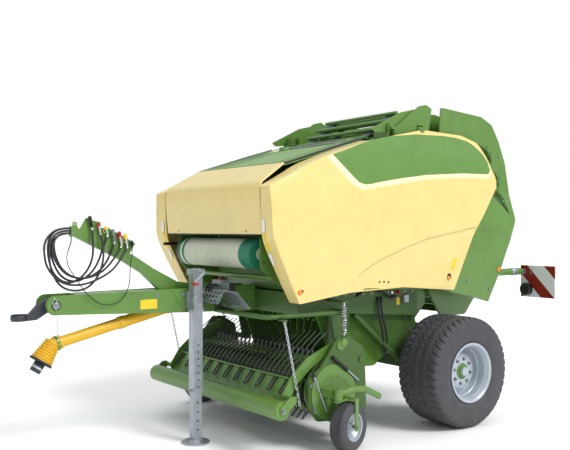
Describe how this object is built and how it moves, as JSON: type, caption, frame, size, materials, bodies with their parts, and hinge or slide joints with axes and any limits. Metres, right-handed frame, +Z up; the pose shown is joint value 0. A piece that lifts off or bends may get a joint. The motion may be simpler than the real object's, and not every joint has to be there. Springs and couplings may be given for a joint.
{
  "type": "round baler",
  "caption": "Towed round baler with a pick-up, a chamber of belts and slats, a lifting tailgate, side doors and a hood, standing on two wheels and a jack.",
  "frame": {"origin": "on the ground under the middle of the machine's box", "axes": "+X forward to the tow eye, +Y left, +Z up"},
  "size_m": [5.35, 2.74, 3.1444],
  "materials": {
    "green": "gloss",
    "cream": "gloss",
    "sage": "satin",
    "galvanised": "matt",
    "steel": "satin",
    "dark_iron": "satin",
    "rim_grey": "satin",
    "tyre": "matt",
    "black_rubber": "matt",
    "yellow_plastic": "matt",
    "net": "matt",
    "board": "matt"
  },
  "bodies": {
    "frame": {"axle": "green", "drawbar": "green", "tow_pin": "steel", "tow_eye": "dark_iron", "chassis": "green", "front_bars": "green", "housing_walls": "green", "chamber_sheets": "green", "hood_rod": "steel", "belts_front": "black_rubber", "slats_front": "green", "net_plates": "green", "jack_tube": "galvanised", "shaft_tube": "yellow_plastic", "gearbox": "green", "hose_arm": "green", "couplings": "steel", "step_plate": "galvanised", "pickup_chains": "steel", "relief_springs": "steel", "hose_1": "black_rubber", "hose_2": "black_rubber", "hose_3": "black_rubber", "hose_4": "black_rubber", "hose_5": "black_rubber", "hose_6": "black_rubber", "cable": "black_rubber"},
    "wheel_left": {"tyre_left": "tyre", "rim_left": "rim_grey", "hub_left": "green"},
    "wheel_right": {"tyre_right": "tyre", "rim_right": "rim_grey", "hub_right": "green"},
    "tailgate": {"tailgate_walls": "green", "rear_cover": "green", "side_panels": "green", "belts_rear": "black_rubber", "slats_rear": "green", "light_arms": "green", "warning_boards": "board"},
    "door_left": {"door_left": "cream"},
    "door_right": {"door_right": "cream"},
    "hood": {"front_cover": "cream", "top_lid": "sage"},
    "net_roll": {"net_roll": "net"},
    "feed_rotor": {"feed_rotor": "green"},
    "pickup": {"pickup_frame": "green", "caster_brackets": "green"},
    "pickup_reel": {"pickup_reel": "steel"},
    "guard": {"guard_frame": "green", "guard_comb": "steel"},
    "crop_roller": {"crop_roller": "green"},
    "caster_left": {"caster_fork_left": "green"},
    "caster_right": {"caster_fork_right": "green"},
    "gauge_wheel_left": {"gauge_tyre_left": "tyre", "gauge_rim_left": "rim_grey"},
    "gauge_wheel_right": {"gauge_tyre_right": "tyre", "gauge_rim_right": "rim_grey"},
    "jack_leg": {"jack_leg": "galvanised"},
    "shaft_yoke": {"shaft_yoke": "steel"}
  },
  "joints": [
    {"name": "wheel_left_spin", "type": "hinge", "parent": "frame", "child": "wheel_left", "pos_m": [-1.25, 1.12, 0.529], "axis": [0, 1, 0], "continuous": true},
    {"name": "wheel_right_spin", "type": "hinge", "parent": "frame", "child": "wheel_right", "pos_m": [-1.25, -1.12, 0.529], "axis": [0, 1, 0], "continuous": true},
    {"name": "tailgate_lift", "type": "hinge", "parent": "frame", "child": "tailgate", "pos_m": [-1.33, 0, 3.02], "axis": [0, 1, 0], "range_deg": [0, 55]},
    {"name": "door_left_lift", "type": "hinge", "parent": "frame", "child": "door_left", "pos_m": [-0.89, 0.832, 2.902], "axis": [1, 0, 0], "range_deg": [0, 70]},
    {"name": "door_right_lift", "type": "hinge", "parent": "frame", "child": "door_right", "pos_m": [-0.89, -0.832, 2.902], "axis": [-1, 0, 0], "range_deg": [0, 70]},
    {"name": "hood_lift", "type": "hinge", "parent": "frame", "child": "hood", "pos_m": [-0.465, 0, 2.765], "axis": [0, -1, 0], "range_deg": [0, 45]},
    {"name": "net_roll_spin", "type": "hinge", "parent": "frame", "child": "net_roll", "pos_m": [0.7, 0, 1.68], "axis": [0, 1, 0], "continuous": true},
    {"name": "feed_rotor_spin", "type": "hinge", "parent": "frame", "child": "feed_rotor", "pos_m": [-0.265, 0, 0.8], "axis": [0, 1, 0], "continuous": true},
    {"name": "pickup_lift", "type": "hinge", "parent": "frame", "child": "pickup", "pos_m": [-0.1, 0, 0.74], "axis": [0, -1, 0], "range_deg": [0, 12], "deforming": ["pickup_chains", "relief_springs"]},
    {"name": "pickup_reel_spin", "type": "hinge", "parent": "pickup", "child": "pickup_reel", "pos_m": [0.22, 0, 0.475], "axis": [0, 1, 0], "continuous": true},
    {"name": "guard_lift", "type": "hinge", "parent": "pickup", "child": "guard", "pos_m": [0.112, 0, 0.905], "axis": [0, -1, 0], "range_deg": [0, 15]},
    {"name": "crop_roller_spin", "type": "hinge", "parent": "guard", "child": "crop_roller", "pos_m": [0.812, 0, 0.4], "axis": [0, 1, 0], "continuous": true},
    {"name": "caster_left_swivel", "type": "hinge", "parent": "pickup", "child": "caster_left", "pos_m": [0.333, 1.249, 0.505], "axis": [0, 0, 1], "range_deg": [-35, 0]},
    {"name": "caster_right_swivel", "type": "hinge", "parent": "pickup", "child": "caster_right", "pos_m": [0.333, -1.249, 0.505], "axis": [0, 0, -1], "range_deg": [-35, 0]},
    {"name": "gauge_wheel_left_spin", "type": "hinge", "parent": "caster_left", "child": "gauge_wheel_left", "pos_m": [0.18955, 1.20514, 0.21], "axis": [-0.2924, 0.9563, 0], "continuous": true},
    {"name": "gauge_wheel_right_spin", "type": "hinge", "parent": "caster_right", "child": "gauge_wheel_right", "pos_m": [0.18955, -1.20514, 0.21], "axis": [0.2924, 0.9563, 0], "continuous": true},
    {"name": "jack_slide", "type": "slide", "parent": "frame", "child": "jack_leg", "axis": [0, 0, 1], "range_m": [0, 0.35]},
    {"name": "shaft_yoke_spin", "type": "hinge", "parent": "frame", "child": "shaft_yoke", "pos_m": [2.348, 0, 0.953], "axis": [0.5627, 0, -0.8266], "continuous": true}
  ]
}
